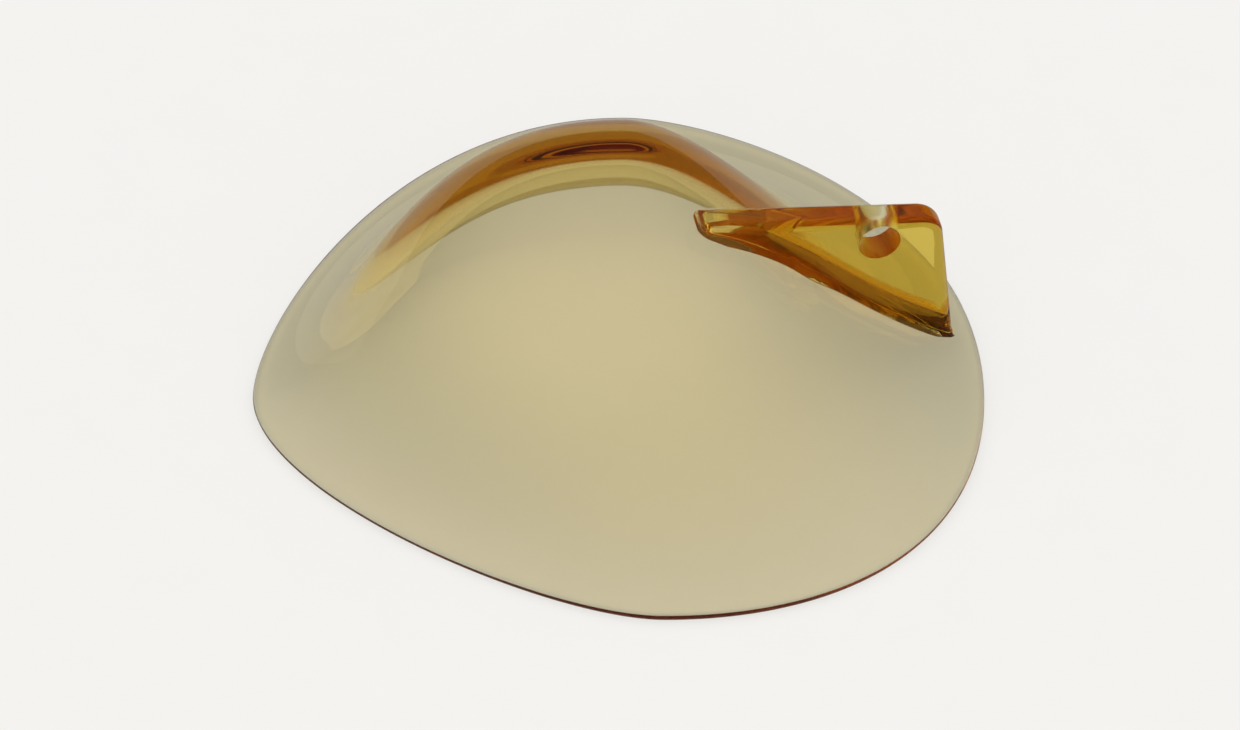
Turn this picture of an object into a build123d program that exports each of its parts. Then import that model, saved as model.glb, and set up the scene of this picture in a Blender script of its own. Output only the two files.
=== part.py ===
from build123d import *

import os
from math import cos, hypot, pi, radians, sin, sqrt, tan

# Surgical eye shield: a clear amber moulded cup that covers the cornea, with a flat
# handle cemented on edge along a radius of its broad side.
# +Z is the way out of the eye, +X runs from the narrow end to the broad end with the
# handle, and the origin is below the crown, on the surface that the rim rests on.
# All lengths are in millimetres and all angles in degrees.

# Shell: reach of the outer rim line from the crown's axis on each side, and the height
reach_right = 12.65
reach_far = 13.6
reach_left = 12.9
reach_near = 10.75
crown_height = 8.2

# Shell: how far beside the crown's axis the rim line comes nearest to the left and near
# side, anticlockwise seen from above; on the other two sides it lies straight out from it
rim_drift_left = 0.45
rim_drift_near = 1.45

# Shell: wall at the crown, down the side and at the brim
crown_wall = 0.75
side_wall = 0.85
brim_wall = 0.6

# Shell: angle at which the brim ends, on each side
brim_angle_right = 27.0
brim_angle_far = 12.0
brim_angle_left = 22.0
brim_angle_near = 14.0

# Shell: how far out the crown stays flat, and how far in the brim starts to rise, as
# shares of the reach on that side
crown_shares = {"right": 0.453, "far": 0.87, "left": 0.707, "near": 0.67}
brim_shares = {"right": 0.578, "far": 0.44, "left": 0.682, "near": 0.617}

# Shell: fullness of each quarter seen from above, where about 0.55 is an ellipse and less
# is flatter; a quarter of the rim line has one value at the side named, where it starts,
# and one at the next side anticlockwise, where it ends
dome_fullness_shares = {"right": 0.47, "far": 0.64, "left": 0.52, "near": 0.56}
rim_start_fullness_shares = {"right": 0.69, "far": 0.64, "left": 0.41, "near": 0.48}
rim_end_fullness_shares = {"right": 0.27, "far": 0.29, "left": 0.32, "near": 0.69}
rim_band_count = 8

# Handle: a plate on edge along a radius of the crown, nearly square at its outer corner
handle_thickness = 1.1
handle_turn_angle = 12.0
handle_inner_end = 2.7
handle_tail_height = 0.3
handle_corner_inset = 1.35
handle_top_angle = 9.0
handle_end_angle = 6.5
handle_corner_radius = 1.0
handle_edge_radius = 0.35
handle_hole_diameter = 1.5
handle_hole_inset = 2.25
handle_hole_drop = 1.0

# Cement: the layer under the handle and the bead squeezed out along its foot, which
# stays below a share of the handle's own standing height, with flanks hollowed by a share
# of their breadth
cement_layer = 0.1
bead_width = 0.4
bead_height = 0.85
bead_end_reach = 0.2
bead_end_height = 0.15
bead_grip = 0.1
bead_climb_share = 0.8
bead_hollow_share = 0.1
bead_station_count = 6

# Cuts run past what they cut by this much
overrun = 1.0

SIDES = ("right", "far", "left", "near")
reaches = dict(zip(SIDES, (reach_right, reach_far, reach_left, reach_near)))
brim_angles = dict(zip(SIDES, (brim_angle_right, brim_angle_far, brim_angle_left, brim_angle_near)))
rim_drifts = {"left": rim_drift_left, "near": rim_drift_near}


def outer_legs(side):
    """The control polygon of the outer face on one side: crown, flat, brim, rim.

    The rim line is as high as lets the round rim below it just touch the table."""
    reach, slope = reaches[side], radians(brim_angles[side])
    crown_end, brim_start = crown_shares[side] * reach, brim_shares[side] * reach
    height = brim_wall / 2 * (1 + cos(slope))
    rise = (reach - brim_start) * tan(slope)
    return [(0, crown_height), (crown_end, crown_height), (brim_start, height + rise), (reach, height)]


def moved_in(legs, walls):
    """A polygon with each leg moved in by its wall, and the legs met again."""
    moved = []
    for (start, end), wall in zip(zip(legs, legs[1:]), walls):
        run, fall = end[0] - start[0], end[1] - start[1]
        out, up = fall / hypot(run, fall) * wall, -run / hypot(run, fall) * wall
        moved.append(((start[0] + out, start[1] + up), (end[0] + out, end[1] + up)))
    met = [moved[0][0]]
    for ((ax, az), (bx, bz)), ((cx, cz), (dx, dz)) in zip(moved, moved[1:]):
        cross = (bx - ax) * (dz - cz) - (bz - az) * (dx - cx)
        along = ((cx - ax) * (dz - cz) - (cz - az) * (dx - cx)) / cross
        met.append((ax + along * (bx - ax), az + along * (bz - az)))
    return met + [moved[-1][1]]


def rim_legs(side, start, end):
    """A band of the half-round rim, from one turn of its section to another."""
    upper, lower = Vector(*outer[side][-1]), Vector(*inner[side][-1])
    centre, up = (upper + lower) / 2, (upper - lower) / 2
    out = Vector(up.Y, -up.X)
    first, last = (centre + up * cos(turn) + out * sin(turn) for turn in (start, end))
    first_way, last_way = (out * cos(turn) - up * sin(turn) for turn in (start, end))
    arm = 4 / 3 * tan((end - start) / 4)
    return [(leg.X, leg.Y) for leg in (first, first + first_way * arm, last - last_way * arm, last)]


def quarter_face(legs, first, second, all_on_rim):
    """One quarter of a skin: the polygons of two neighbouring sides, swept round between them."""
    net = []
    for (reach_a, height_a), (reach_b, height_b) in zip(legs[first], legs[second]):
        start_fullness = end_fullness = dome_fullness_shares[first]
        drift_a = drift_b = 0
        if all_on_rim or (reach_a, height_a) == legs[first][-1]:
            start_fullness, end_fullness = rim_start_fullness_shares[first], rim_end_fullness_shares[first]
            drift_a, drift_b = rim_drifts.get(first, 0), rim_drifts.get(second, 0)
        net.append([
            (reach_a, drift_a, height_a),
            (reach_a, drift_a + start_fullness * reach_b, height_a),
            (end_fullness * reach_a - drift_b, reach_b, height_b),
            (-drift_b, reach_b, height_b),
        ])
    return Face.make_bezier_surface(net).rotate(Axis.Z, SIDES.index(first) * 360 / len(SIDES))


def skin(legs, all_on_rim=False):
    """The four quarters of a skin, of which the last ring or every ring follows the rim line."""
    return [quarter_face(legs, *pair, all_on_rim) for pair in zip(SIDES, SIDES[1:] + SIDES[:1])]


def solid_below(legs):
    """Everything below a skin, down past the table, for cutting what stands on that skin."""
    wall = {}
    for side in SIDES:
        reach, height = legs[side][-1]
        wall[side] = [(reach, height - share * (height + overrun)) for share in (0, 1 / 3, 2 / 3, 1)]
    skirt = skin(wall, all_on_rim=True)
    base = Face(Wire([face.edges().sort_by(Axis.Z)[0] for face in skirt]))
    return Solid(Shell(skin(legs) + skirt + [base]))


# The shell: one moulding, dome and flared brim of nearly even wall, with a half-round rim
# made in narrow bands
outer = {side: outer_legs(side) for side in SIDES}
inner = {side: moved_in(outer[side], (crown_wall, side_wall, brim_wall)) for side in SIDES}
rim = []
for band in range(rim_band_count):
    turns = pi * band / rim_band_count, pi * (band + 1) / rim_band_count
    rim += skin({side: rim_legs(side, *turns) for side in SIDES}, all_on_rim=True)
with BuildPart() as shell:
    add(Solid(Shell(skin(outer) + rim + skin(inner))))

shell.part.label = "shell"

cement_top = {side: moved_in(outer[side], (-cement_layer, -cement_layer, -cement_layer)) for side in SIDES}
below_shell = solid_below(outer)
below_handle = solid_below(cement_top)

# The handle's own plane: x runs out along its radius, y is up, z comes out of its front
handle_turn, top_fall, end_slant = (
    radians(angle) for angle in (handle_turn_angle, handle_top_angle, handle_end_angle)
)
handle_plane = Plane(
    origin=(0, 0, 0),
    x_dir=(cos(handle_turn), sin(handle_turn), 0),
    z_dir=(sin(handle_turn), -cos(handle_turn), 0),
)


def skin_height(out, aside=0):
    """Height of the shell's outer face at a place in the handle's plane, or beside it."""
    above = handle_plane.from_local_coords(Vector(out, crown_height + overrun, aside))
    points = below_shell.find_intersection_points(Axis(above, (0, 0, -1)))
    return max(point.Z for point, normal in points)


tail_top = skin_height(handle_inner_end) + handle_tail_height
corner_reach = reach_right - handle_corner_inset


def handle_top(out):
    """Height of the handle's top edge at a distance out from the crown's axis."""
    return tail_top - (out - handle_inner_end) * tan(top_fall)


def handle_end(height):
    """Distance out of the handle's end edge at a height."""
    return corner_reach + (handle_top(corner_reach) - height) * tan(end_slant)


# The handle: a flat plate cut from sheet, edges polished round, with a hole for a thread
corner = (corner_reach, handle_top(corner_reach))
hole_out = corner_reach - handle_hole_inset
hole_height = handle_top(hole_out) - handle_hole_drop
with BuildPart() as handle:
    with BuildSketch(handle_plane) as handle_outline:
        Polygon(
            (handle_inner_end, tail_top),
            corner,
            (handle_end(-overrun), -overrun),
            (handle_inner_end, -overrun),
            align=None,
        )
        fillet(handle_outline.vertices().sort_by_distance(corner)[0], handle_corner_radius)
    extrude(amount=handle_thickness / 2, both=True)
    fillet(handle.faces().filter_by(Axis((0, 0, 0), handle_plane.z_dir)).edges(), handle_edge_radius)
    with Locations(handle_plane.location * Pos(hole_out, hole_height, 0)):
        Hole(handle_hole_diameter / 2)
    add(below_handle, mode=Mode.SUBTRACT)

handle.part.label = "handle"


def bead_size(out):
    """A station of the bead: distance out, and its height as far as the handle lets it climb."""
    climb = bead_climb_share * (handle_top(out) - skin_height(out))
    return out, max(bead_end_height, min(bead_height, climb))


def bead_outline(out, height):
    """Across the handle's foot: hollow flanks up both sides of the plate, and a flat between."""
    grip = handle_thickness / 2 - bead_grip
    side = handle_thickness / 2 + bead_width * sqrt(height / bead_height)
    top = skin_height(out) + height
    front, back = (skin_height(out, aside) - cement_layer for aside in (side, -side))
    front_dip, back_dip = (bead_hollow_share * hypot(side - grip, top - toe) for toe in (front, back))
    foot = handle_plane.from_local_coords(Vector(out, 0, 0))
    across = Plane(origin=foot, x_dir=handle_plane.z_dir, z_dir=-handle_plane.x_dir)
    with BuildSketch(across) as outline:
        with BuildLine():
            SagittaArc((side, front), (grip, top), -front_dip)
            Line((grip, top), (-grip, top))
            SagittaArc((-grip, top), (-side, back), -back_dip)
            Polyline((-side, back), (-side, -overrun), (side, -overrun), (side, front))
        make_face()
    return outline.sketch


# The cement: a thin layer under the handle and a hollow bead all along its foot, which
# thins out just past both ends of the plate
foot_corners = [handle_plane.to_local_coords(vertex.center()) for vertex in handle.part.vertices()]
foot_out = max(place.X for place in foot_corners if place.Y < corner[1] / 2)
bead_start, bead_stop = handle_inner_end + handle_thickness / 2, foot_out - handle_edge_radius
bead_stations = [(handle_inner_end - bead_end_reach, bead_end_height)]
for station in range(bead_station_count):
    out = bead_start + (bead_stop - bead_start) * station / (bead_station_count - 1)
    bead_stations.append(bead_size(out))
bead_stations.append((foot_out + bead_end_reach, bead_end_height))
with BuildPart() as cement_bead:
    loft([bead_outline(out, height) for out, height in bead_stations])
    add(below_shell, mode=Mode.SUBTRACT)
    add(handle.part, mode=Mode.SUBTRACT)

cement_bead.part.label = "cement_bead"

os.makedirs("parts", exist_ok=True)
for piece in (shell, handle, cement_bead):
    export_step(piece.part, f"parts/{piece.part.label}.step")
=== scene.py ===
from math import cos, exp, pi, radians, sin, sqrt, tan

import bmesh
import bpy
from mathutils import Matrix, Vector
from mathutils.bvhtree import BVHTree
from mathutils.geometry import interpolate_bezier


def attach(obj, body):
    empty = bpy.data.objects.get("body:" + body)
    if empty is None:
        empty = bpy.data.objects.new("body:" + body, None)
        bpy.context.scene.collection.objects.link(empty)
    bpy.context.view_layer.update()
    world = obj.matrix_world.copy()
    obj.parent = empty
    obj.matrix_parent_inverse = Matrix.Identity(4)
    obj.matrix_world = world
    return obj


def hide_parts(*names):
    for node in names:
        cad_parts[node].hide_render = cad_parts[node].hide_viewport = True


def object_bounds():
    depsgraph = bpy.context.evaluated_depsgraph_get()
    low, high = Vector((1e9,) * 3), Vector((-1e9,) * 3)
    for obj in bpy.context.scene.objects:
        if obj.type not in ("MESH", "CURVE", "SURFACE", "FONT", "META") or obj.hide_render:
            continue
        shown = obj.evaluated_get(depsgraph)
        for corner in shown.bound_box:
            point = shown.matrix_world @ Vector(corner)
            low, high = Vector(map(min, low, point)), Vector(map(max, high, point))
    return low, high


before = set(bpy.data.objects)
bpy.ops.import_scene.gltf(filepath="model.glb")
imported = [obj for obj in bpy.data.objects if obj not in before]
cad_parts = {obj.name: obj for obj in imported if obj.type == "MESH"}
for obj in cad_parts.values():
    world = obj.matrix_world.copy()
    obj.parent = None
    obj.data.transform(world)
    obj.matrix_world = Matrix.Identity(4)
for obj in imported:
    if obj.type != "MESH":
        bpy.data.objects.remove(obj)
cad_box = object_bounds()

# Shell: one cup of clear amber acrylic, injection moulded, with a flared brim whose edge
# is rounded so that it can't cut. Sizes are in millimetres and angles in degrees, as on
# the drawing: how far the rim reaches on each side, and how the dome falls away to it.
MM = 0.001
SIDES = ("right", "far", "left", "near")
CROWN_HEIGHT = 8.2
CROWN_WALL, SIDE_WALL, BRIM_WALL = 0.75, 0.85, 0.6
RIM_REACH = {"right": 12.65, "far": 13.6, "left": 12.9, "near": 10.75}
RIM_DRIFT = {"right": 0.0, "far": 0.0, "left": 0.45, "near": 1.45}
BRIM_ANGLE = {"right": 27.0, "far": 12.0, "left": 22.0, "near": 14.0}
CROWN_SHARE = {"right": 0.453, "far": 0.87, "left": 0.707, "near": 0.67}
BRIM_SHARE = {"right": 0.578, "far": 0.44, "left": 0.682, "near": 0.617}
DOME_FULLNESS = {"right": (0.47, 0.47), "far": (0.64, 0.64), "left": (0.52, 0.52), "near": (0.56, 0.56)}
RIM_FULLNESS = {"right": (0.69, 0.27), "far": (0.64, 0.29), "left": (0.41, 0.32), "near": (0.48, 0.69)}
SKIN_STEPS, RIM_STEPS, ROUND_STEPS = 60, 10, 60
SEAM, SHARP = 0.0005, radians(40)
ACRYLIC_IOR, WAVE_DEPTH, RUB_MM = 1.49, 0.1, 0.9
RUB_START, RUB_FULL = 0.35, 0.75


def outer_legs(side):
    """The outer face's control polygon on one side: crown, flat, brim, rim."""
    reach, slope = RIM_REACH[side], radians(BRIM_ANGLE[side])
    brim_start, height = BRIM_SHARE[side] * reach, BRIM_WALL / 2 * (1 + cos(slope))
    rise = (reach - brim_start) * tan(slope)
    crown = [(0, CROWN_HEIGHT), (CROWN_SHARE[side] * reach, CROWN_HEIGHT)]
    return crown + [(brim_start, height + rise), (reach, height)]


def inner_legs(side):
    """The inner face's control polygon: each leg of the outer one moved in by its wall."""
    legs, moved = outer_legs(side), []
    for (ax, az), (bx, bz), wall in zip(legs, legs[1:], (CROWN_WALL, SIDE_WALL, BRIM_WALL)):
        along = Vector((bx - ax, bz - az)).normalized()
        inward = Vector((along.y, -along.x)) * wall
        moved.append((Vector((ax, az)) + inward, along, Vector((bx, bz)) + inward))
    met = [moved[0][0]]
    for (start, along, _), (other, across, _) in zip(moved, moved[1:]):
        met.append(start + along * ((other - start).cross(across) / along.cross(across)))
    return [tuple(corner) for corner in met + [moved[-1][2]]]


def rim_legs(side):
    """The half-round rim between the two faces, with handles of 4/3 of its radius."""
    outer, inner = outer_legs(side)[-1], inner_legs(side)[-1]
    bulge, slope = 4 / 3 * BRIM_WALL / 2, radians(BRIM_ANGLE[side])
    out, down = bulge * cos(slope), bulge * sin(slope)
    return [outer, (outer[0] + out, outer[1] - down), (inner[0] + out, inner[1] - down), inner]


def lay(bm, columns):
    """Lays a grid of faces over columns of points."""
    across, along = len(columns) - 1, len(columns[0]) - 1
    grid = bmesh.ops.create_grid(bm, x_segments=across, y_segments=along, size=0.5)
    for vert in grid["verts"]:
        vert.co = columns[round((vert.co.x + 0.5) * across)][round((vert.co.y + 0.5) * along)]


def lay_quarter(bm, legs, first, second, rings_on_rim, steps):
    """One quarter of a face: a grid laid over the curves between two neighbouring sides."""
    turn = Matrix.Rotation(pi / 2 * SIDES.index(first), 3, "Z")
    rings = []
    for ring, ((reach_a, height_a), (reach_b, height_b)) in enumerate(zip(legs(first), legs(second))):
        on_rim = ring >= 4 - rings_on_rim
        full_a, full_b = (RIM_FULLNESS if on_rim else DOME_FULLNESS)[first]
        drift_a, drift_b = (RIM_DRIFT[first], RIM_DRIFT[second]) if on_rim else (0, 0)
        corners = (
            Vector((reach_a, drift_a, height_a)),
            Vector((reach_a, drift_a + full_a * reach_b, height_a)),
            Vector((full_b * reach_a - drift_b, reach_b, height_b)),
            Vector((-drift_b, reach_b, height_b)),
        )
        rings.append(interpolate_bezier(*(turn @ corner for corner in corners), ROUND_STEPS + 1))
    lay(bm, [interpolate_bezier(*corners, steps + 1) for corners in zip(*rings)])


def close_up(bm):
    """Joins a mesh along its seams and turns its faces outwards."""
    bmesh.ops.remove_doubles(bm, verts=bm.verts, dist=SEAM)
    bmesh.ops.recalc_face_normals(bm, faces=bm.faces)


def finished(bm, name, material, replaced):
    """Brings a closed mesh to metres, as the smooth piece that shows in place of a CAD one."""
    bmesh.ops.scale(bm, vec=(MM, MM, MM), verts=bm.verts)
    for face in bm.faces:
        face.smooth = True
    for edge in bm.edges:
        edge.smooth = edge.calc_face_angle(0) < SHARP
    mesh = bpy.data.meshes.new(name)
    bm.to_mesh(mesh)
    bm.free()
    mesh.materials.append(material)
    piece = bpy.data.objects.new(name, mesh)
    bpy.context.scene.collection.objects.link(piece)
    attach(piece, "root")
    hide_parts(replaced)
    return piece


def linear(hex_color):
    """A colour written as sRGB hex, turned linear."""
    parts = [int(hex_color[i:i + 2], 16) / 255 for i in (1, 3, 5)]
    return [c / 12.92 if c <= 0.04045 else ((c + 0.055) / 1.055) ** 2.4 for c in parts] + [1]


def node(tree, kind, links=None, **settings):
    """Adds a node: settings by attribute or socket name, links as socket: (node, output)."""
    new = tree.nodes.new(kind)
    for name, value in settings.items():
        if hasattr(new, name):
            setattr(new, name, value)
        else:
            new.inputs[name.replace("_", " ")].default_value = value
    for name, (source, output) in (links or {}).items():
        tree.links.new(source.outputs[output], new.inputs[name])
    return new


def clear_acrylic(name, tint, per_mm, sheen, wave_mm, wave_share, rub_share, turn=0.0, drawn=1.0):
    """Clear coloured acrylic: the tint lies inside it, so thick parts go dark.

    Its skin mirrors in the sheen's colour and is rippled by waves, which may be drawn out along
    a turn. Rub marks roughen it in patches, by up to the rub share.
    """
    material = bpy.data.materials.new(name)
    material.use_nodes = True
    tree = material.node_tree
    tree.nodes.clear()
    place = node(tree, "ShaderNodeTexCoord")
    run = node(tree, "ShaderNodeMapping", {"Vector": (place, "Object")}, vector_type="TEXTURE")
    run.inputs["Rotation"].default_value = (0, 0, turn)
    run.inputs["Scale"].default_value = (drawn, 1, 1)
    waves = node(
        tree, "ShaderNodeTexNoise", {"Vector": (run, "Vector")},
        Scale=1 / (wave_mm * MM), Detail=2.0,
    )
    bump = node(
        tree, "ShaderNodeBump", {"Height": (waves, "Fac")},
        Strength=wave_share, Distance=WAVE_DEPTH * MM,
    )
    rub = node(
        tree, "ShaderNodeTexNoise", {"Vector": (place, "Object")},
        Scale=1 / (RUB_MM * MM), Detail=6.0,
    )
    gloss = node(
        tree, "ShaderNodeMapRange", {"Value": (rub, "Fac")},
        From_Min=RUB_START, From_Max=RUB_FULL, To_Min=0.0, To_Max=rub_share,
    )
    skin = node(
        tree, "ShaderNodeBsdfPrincipled",
        {"Roughness": (gloss, "Result"), "Normal": (bump, "Normal")},
    )
    skin.inputs["Base Color"].default_value = (1, 1, 1, 1)
    skin.inputs["IOR"].default_value = ACRYLIC_IOR
    skin.inputs["Transmission Weight"].default_value = 1.0
    skin.inputs["Specular Tint"].default_value = linear(sheen)
    body = node(tree, "ShaderNodeVolumeAbsorption", Density=per_mm / MM)
    body.inputs["Color"].default_value = linear(tint)
    node(tree, "ShaderNodeOutputMaterial", {"Surface": (skin, "BSDF"), "Volume": (body, "Volume")})
    return material


moulding = bmesh.new()
for first, second in zip(SIDES, SIDES[1:] + SIDES[:1]):
    lay_quarter(moulding, outer_legs, first, second, 1, SKIN_STEPS)
    lay_quarter(moulding, rim_legs, first, second, 4, RIM_STEPS)
    lay_quarter(moulding, inner_legs, first, second, 1, SKIN_STEPS)
close_up(moulding)
outer_skin = BVHTree.FromBMesh(moulding)
# moulded acrylic: glossy from a polished mould, with long shallow ripples and faint rub marks
shell_acrylic = clear_acrylic(
    "moulded_amber_acrylic", tint="#F3DE00", per_mm=0.62, sheen="#FFDC90",
    wave_mm=5.0, wave_share=0.02, rub_share=0.06,
)
finished(moulding, "shell_moulding", shell_acrylic, "shell")

# Handle: a plate cut from clear amber acrylic sheet, stood on edge along a radius of the
# broad side and cemented there. Its edges are flame polished, which rounds them, and a
# hole for a thread is drilled near its outer corner.
PLATE_THICKNESS, PLATE_TURN = 1.1, radians(12.0)
INNER_END, TAIL_HEIGHT, CORNER_INSET = 2.7, 0.3, 1.35
TOP_FALL, END_SLANT = radians(9.0), radians(6.5)
CORNER_RADIUS, EDGE_RADIUS = 1.0, 0.35
HOLE_DIAMETER, HOLE_INSET, HOLE_DROP, HOLE_EDGE_RADIUS = 1.5, 2.25, 1.0, 0.05
FLAT_BORDER, CEMENT_SINK, DRILLED_ROUGHNESS = 0.03, 0.03, 0.3
EDGE_STEPS, CORNER_STEPS, TOP_STEPS, END_STEPS, FOOT_STEPS = 8, 16, 24, 20, 60
HOLE_STEPS, HOLE_EDGE_STEPS, HALVINGS = 64, 3, 24
ALONG = Vector((cos(PLATE_TURN), sin(PLATE_TURN), 0))
FRONT = Vector((sin(PLATE_TURN), -cos(PLATE_TURN), 0))


def on_plate(out, height, aside):
    """A place in the handle: out along its radius, up, and towards its front."""
    return ALONG * out + FRONT * aside + Vector((0, 0, height))


def skin_height(out, aside=0):
    """Height of the shell's outer face below a place in the handle."""
    above = on_plate(out, CROWN_HEIGHT + CROWN_WALL, aside)
    return outer_skin.ray_cast(above, Vector((0, 0, -1)))[0].z


HALF = PLATE_THICKNESS / 2
TAIL_TOP = skin_height(INNER_END) + TAIL_HEIGHT
CORNER_REACH = RIM_REACH["right"] - CORNER_INSET


def plate_top(out):
    """Height of the plate's top edge at a distance out."""
    return TAIL_TOP - (out - INNER_END) * tan(TOP_FALL)


CORNER = Vector((CORNER_REACH, plate_top(CORNER_REACH)))
HOLE_OUT = CORNER_REACH - HOLE_INSET
HOLE_HEIGHT = plate_top(HOLE_OUT) - HOLE_DROP
BACK = Vector((-cos(TOP_FALL), sin(TOP_FALL)))
DOWN = Vector((sin(END_SLANT), -cos(END_SLANT)))


def meet_skin(start, way, aside):
    """Where a line in the plate, from a point above the shell, comes down to it."""
    low, high = 0.0, CORNER_REACH
    for _ in range(HALVINGS):
        middle = (low + high) / 2
        place = start + way * middle
        if place.x < INNER_END or place.y < skin_height(place.x, aside):
            high = middle
        else:
            low = middle
    return start + way * low


def plate_outline(inset, aside):
    """The plate's outline moved in by an inset, from its foot's inner end round over the top."""
    radius = max(CORNER_RADIUS - inset, FLAT_BORDER)
    centre = CORNER + (BACK + DOWN) * (inset + radius) / abs(BACK.cross(DOWN))
    start, sweep = pi / 2 - TOP_FALL, END_SLANT + TOP_FALL - pi / 2
    turns = [start + sweep * i / CORNER_STEPS for i in range(CORNER_STEPS + 1)]
    corner = [centre + Vector((cos(turn), sin(turn))) * radius for turn in turns]
    tail = meet_skin(corner[0], BACK, aside)
    if tail.x < INNER_END + inset:
        tail = tail.lerp(corner[0], (INNER_END + inset - tail.x) / (corner[0].x - tail.x))
    foot = meet_skin(corner[-1], DOWN, aside)
    points = [tail.lerp(corner[0], i / TOP_STEPS) for i in range(TOP_STEPS)] + corner
    points += [corner[-1].lerp(foot, i / END_STEPS) for i in range(1, END_STEPS)]
    for i in range(FOOT_STEPS + 1):
        out = foot.x + (tail.x - foot.x) * i / FOOT_STEPS
        points.append(Vector((out, skin_height(out, aside) - CEMENT_SINK)))
    return [on_plate(*point, aside) for point in points + points[:1]]


def drilled(blank, drill):
    """Cuts a closed mesh out of another, and returns what is left."""
    pieces = []
    for name, part in (("blank", blank), ("drill", drill)):
        mesh = bpy.data.meshes.new(name)
        part.to_mesh(mesh)
        part.free()
        pieces.append(bpy.data.objects.new(name, mesh))
        bpy.context.scene.collection.objects.link(pieces[-1])
    cut = pieces[0].modifiers.new("hole", "BOOLEAN")
    cut.object, cut.solver = pieces[1], "EXACT"
    left = bmesh.new()
    left.from_object(pieces[0], bpy.context.evaluated_depsgraph_get())
    for piece in pieces:
        bpy.data.meshes.remove(piece.data)
    return left


plate = bmesh.new()
turns = [pi / 2 * i / EDGE_STEPS for i in range(EDGE_STEPS + 1)]
edge_front = [(EDGE_RADIUS + FLAT_BORDER, HALF)]
edge_front += [(EDGE_RADIUS * (1 - sin(turn)), HALF - EDGE_RADIUS * (1 - cos(turn))) for turn in turns]
edge_back = [(inset, -aside) for inset, aside in reversed(edge_front)]
lay(plate, [plate_outline(inset, aside) for inset, aside in edge_front + edge_back])
bmesh.ops.remove_doubles(plate, verts=plate.verts, dist=SEAM)
bmesh.ops.edgeloop_fill(plate, edges=[edge for edge in plate.edges if edge.is_boundary])
close_up(plate)
drill = bmesh.new()
hole_centre = on_plate(HOLE_OUT, HOLE_HEIGHT, 0)
aim = Matrix.Translation(hole_centre) @ FRONT.to_track_quat("Z", "Y").to_matrix().to_4x4()
bmesh.ops.create_cone(
    drill, cap_ends=True, segments=HOLE_STEPS, matrix=aim,
    radius1=HOLE_DIAMETER / 2, radius2=HOLE_DIAMETER / 2, depth=2 * PLATE_THICKNESS,
)
plate = drilled(plate, drill)
rims = [edge for edge in plate.edges if edge.calc_face_angle(0) > SHARP]
rims = [edge for edge in rims if (edge.verts[0].co - hole_centre).length < HOLE_DIAMETER]
bmesh.ops.bevel(
    plate, geom=rims, offset=HOLE_EDGE_RADIUS, affect="EDGES", segments=HOLE_EDGE_STEPS,
    profile=0.5, material=-1, clamp_overlap=True,
)
# cast acrylic sheet: glossy faces, deeper in colour than the shell. The drill leaves the wall of
# the hole matt, which blurs what shows through it, and the distance from the hole's axis tells
# the wall from the faces
sheet_acrylic = clear_acrylic(
    "sawn_amber_acrylic_sheet", tint="#FBEB00", per_mm=1.65, sheen="#FFB040",
    wave_mm=3.0, wave_share=0.02, rub_share=0.10,
)
tree = sheet_acrylic.node_tree
place = node(tree, "ShaderNodeTexCoord")
from_hole = node(tree, "ShaderNodeVectorMath", {0: (place, "Object")}, operation="SUBTRACT")
from_hole.inputs[1].default_value = hole_centre * MM
beside = node(tree, "ShaderNodeVectorMath", {0: (from_hole, 0)}, operation="CROSS_PRODUCT")
beside.inputs[1].default_value = FRONT
from_axis = node(tree, "ShaderNodeVectorMath", {0: (beside, 0)}, operation="LENGTH")
matt = node(
    tree, "ShaderNodeMapRange", {"Value": (from_axis, "Value")},
    From_Min=HOLE_DIAMETER / 2 * MM, From_Max=(HOLE_DIAMETER / 2 + HOLE_EDGE_RADIUS) * MM,
    To_Min=DRILLED_ROUGHNESS, To_Max=0.0,
)
rubbed = tree.nodes["Map Range"]
rough = node(
    tree, "ShaderNodeMath", {0: (matt, "Result"), 1: (rubbed, "Result")}, operation="MAXIMUM",
)
tree.links.new(rough.outputs[0], tree.nodes["Principled BSDF"].inputs["Roughness"])
handle = finished(plate, "handle_plate", sheet_acrylic, "handle")
handle.modifiers.new("flat_faces", "WEIGHTED_NORMAL").keep_sharp = True

# Cement: clear solvent cement, run along the handle's foot and squeezed out of the joint,
# where it sets as a bead with a hollowed flank on both sides and thins out round the ends.
# One lump ran out further at the front.
BEAD_WIDTH, BEAD_HEIGHT = 0.4, 0.85
BEAD_END_WIDTH, BEAD_END_HEIGHT = 0.15, 0.15
BEAD_FADE, HOLLOW_SHARE, CLIMB_SHARE = 0.8, 0.1, 0.85
LUMP_OUT, LUMP_SPAN, LUMP_REACH = 6.55, 0.7, 0.15
FLANK_STEPS, UNDER_STEPS, TURN_STEPS = 8, 4, 6
FOOT_END = meet_skin(CORNER, DOWN, 0).x


def foot_stations():
    """Round the plate's foot from the front: out, aside, and the way that faces away from it."""
    inner, outer = INNER_END + EDGE_RADIUS, FOOT_END - EDGE_RADIUS
    side = HALF - EDGE_RADIUS
    run = [inner + (outer - inner) * i / FOOT_STEPS for i in range(FOOT_STEPS + 1)]
    turns = [pi / 2 * i / TURN_STEPS for i in range(1, TURN_STEPS)]
    stations = [(out, HALF, 0, 1) for out in run]
    outer_corners = [(outer, side, 0), (outer, -side, pi / 2)]
    inner_corners = [(inner, -side, pi), (inner, side, 3 * pi / 2)]
    for index, (out, aside, start) in enumerate(outer_corners + inner_corners):
        for turn in turns:
            away = sin(start + turn), cos(start + turn)
            stations.append((out + away[0] * EDGE_RADIUS, aside + away[1] * EDGE_RADIUS, *away))
        if index == 1:
            stations += [(back, -HALF, 0, -1) for back in reversed(run)]
    return stations


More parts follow.
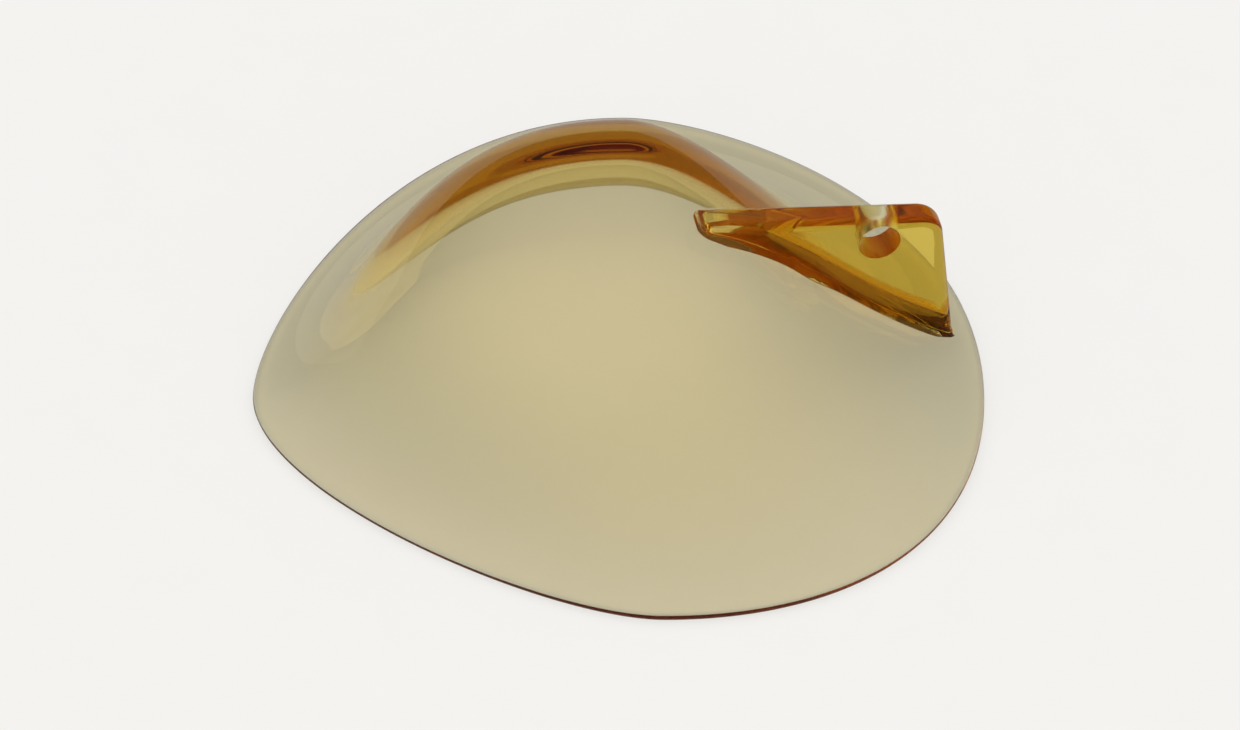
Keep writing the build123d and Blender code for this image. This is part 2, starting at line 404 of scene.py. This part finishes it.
def bead_section(out, aside, go_out, go_aside):
    """Round the bead at one station: up inside the plate, down the hollow flank, and back below."""
    fade = min(1, max(0, out - INNER_END) / BEAD_FADE, max(0, FOOT_END - out) / BEAD_FADE)
    width = BEAD_END_WIDTH + (BEAD_WIDTH - BEAD_END_WIDTH) * fade
    if go_aside > 0:
        width += LUMP_REACH * exp(-((out - LUMP_OUT) / LUMP_SPAN) ** 2)
    stand = min(plate_top(out) - skin_height(out, aside), (FOOT_END - out) / tan(END_SLANT))
    height = max(BEAD_END_HEIGHT, min(BEAD_HEIGHT, CLIMB_SHARE * stand))
    # the higher the bead climbs on the plate's rounded edge, the further in it has to grip
    depth = min(EDGE_RADIUS, max(0, stand - height))
    grip = CEMENT_SINK + EDGE_RADIUS - sqrt(EDGE_RADIUS ** 2 - (EDGE_RADIUS - depth) ** 2)
    steps = [(-grip, 0, CEMENT_SINK), (-grip, 1, 0)]
    for i in range(1, FLANK_STEPS):
        share = i / FLANK_STEPS
        dip = HOLLOW_SHARE * sin(pi * share)
        steps.append(((share - dip) * (width + grip) - grip, 1 - share - dip, 0))
    steps += [(width * (1 - i / UNDER_STEPS), 0, CEMENT_SINK) for i in range(UNDER_STEPS)]
    steps.append((-grip, 0, CEMENT_SINK))
    section = []
    for away, climb, sunk in steps:
        place = out + go_out * away, aside + go_aside * away
        section.append(on_plate(place[0], skin_height(*place) + climb * height - sunk, place[1]))
    return section


bead = bmesh.new()
stations = foot_stations()
lay(bead, [bead_section(*station) for station in stations + stations[:1]])
close_up(bead)
# acrylic dissolved and set again: the deepest in colour, with fine streaks along the bead from
# the way it was run on
set_cement = clear_acrylic(
    "set_solvent_cement", tint="#F9DD00", per_mm=4.0, sheen="#FFA030",
    wave_mm=0.3, wave_share=0.08, rub_share=0.05, turn=PLATE_TURN, drawn=12.0,
)
finished(bead, "cement_fillet", set_cement, "cement_bead")

# Table: a plain sheet of pale paper below the part, 0.01 mm clear of it and so wide that its
# edge is out of sight. Part of its brightness is a glow, full to the camera, weaker through
# the plastic and weakest mirrored in it, so the ground is pale and the shadow still shows.
TABLE_REACH, TABLE_GAP, FIBRE_MM = 20000.0, 0.01, 2.5
GLOW_SHARE, THROUGH_GLOW, MIRRORED_GLOW = 0.65, 0.42, 0.2
floor_mesh = bmesh.new()
bmesh.ops.create_grid(floor_mesh, x_segments=8, y_segments=8, size=TABLE_REACH * MM)
floor_data = bpy.data.meshes.new("table")
floor_mesh.to_mesh(floor_data)
floor_mesh.free()
floor = bpy.data.objects.new("table", floor_data)
bpy.context.scene.collection.objects.link(floor)
floor.location.z = cad_box[0][2] - TABLE_GAP * MM
# uncoated paper: matt, so that it mirrors nothing. Its fibres are drawn coarse enough to show,
# as faint clouds
paper = bpy.data.materials.new("matte_paper")
paper.use_nodes = True
tree = paper.node_tree
tree.nodes.clear()
place = node(tree, "ShaderNodeTexCoord")
fibre = node(
    tree, "ShaderNodeTexNoise", {"Vector": (place, "Object")},
    Scale=1 / (FIBRE_MM * MM), Detail=4.0,
)
shade = node(tree, "ShaderNodeMixRGB", {"Fac": (fibre, "Fac")})
shade.inputs["Color1"].default_value = linear("#E8E6E2")
shade.inputs["Color2"].default_value = linear("#EEECE8")
matte = node(tree, "ShaderNodeBsdfDiffuse", {"Color": (shade, "Color")})
path = node(tree, "ShaderNodeLightPath")
through = node(tree, "ShaderNodeMath", {0: (path, "Is Transmission Ray")}, operation="MULTIPLY")
through.inputs[1].default_value = THROUGH_GLOW
mirrored = node(
    tree, "ShaderNodeMath", {0: (path, "Is Glossy Ray"), 2: (through, 0)},
    operation="MULTIPLY_ADD",
)
mirrored.inputs[1].default_value = MIRRORED_GLOW
seen = node(tree, "ShaderNodeMath", {0: (path, "Is Camera Ray"), 1: (mirrored, 0)}, operation="ADD")
glow = node(tree, "ShaderNodeEmission", {"Strength": (seen, 0)})
glow.inputs["Color"].default_value = linear("#FCFBF9")
table_look = node(tree, "ShaderNodeMixShader", {1: (matte, 0), 2: (glow, 0)}, Fac=GLOW_SHARE)
node(tree, "ShaderNodeOutputMaterial", {"Surface": (table_look, "Shader")})
floor_data.materials.append(paper)

# Light: one broad soft light from above, tilted to the front, that falls off to nearly dark at
# the horizon, so the plastic mirrors no lamp.
LIGHT_TILT, DARK, BRIGHT = radians(15), 0.08, 1.35
world = bpy.data.worlds.new("soft_room")
bpy.context.scene.world = world
world.use_nodes = True
room = world.node_tree
view = node(room, "ShaderNodeTexCoord")
facing = node(room, "ShaderNodeVectorMath", {0: (view, "Generated")}, operation="DOT_PRODUCT")
facing.inputs[1].default_value = (0, -sin(LIGHT_TILT), cos(LIGHT_TILT))
level = node(
    room, "ShaderNodeMapRange", {"Value": (facing, "Value")},
    From_Min=0.0, From_Max=1.0, To_Min=DARK, To_Max=BRIGHT, interpolation_type="SMOOTHSTEP",
)
room.links.new(level.outputs["Result"], room.nodes["Background"].inputs["Strength"])
room.nodes["Background"].inputs["Color"].default_value = (1, 1, 1, 1)

# Camera: where the photograph was taken from, 46 degrees above the table and square to the
# long side. Light is mirrored many times along the inside of clear plastic before it comes
# out, so its paths are long.
ELEVATION, DISTANCE, PIXELS_PER_MM = radians(45.9), 180.0, 28.15
PHOTO_WIDTH, PHOTO_HEIGHT = 1240, 730
ORIGIN_PIXEL = (622.5, 391.8)
BOUNCES = 40
away = Vector((0, -cos(ELEVATION), sin(ELEVATION)))
lens = bpy.data.cameras.new("camera")
lens.lens = lens.sensor_width * DISTANCE * PIXELS_PER_MM / PHOTO_WIDTH
lens.shift_x = (PHOTO_WIDTH / 2 - ORIGIN_PIXEL[0]) / PHOTO_WIDTH
lens.shift_y = (ORIGIN_PIXEL[1] - PHOTO_HEIGHT / 2) / PHOTO_WIDTH
lens.clip_start, lens.clip_end = 0.01, 10.0
camera = bpy.data.objects.new("camera", lens)
camera.location = away * DISTANCE * MM
camera.rotation_euler = away.to_track_quat("Z", "Y").to_euler()
bpy.context.scene.collection.objects.link(camera)
bpy.context.scene.camera = camera
bpy.context.scene.view_settings.view_transform = "Standard"
paths = bpy.context.scene.cycles
paths.max_bounces = paths.glossy_bounces = paths.transmission_bounces = BOUNCES
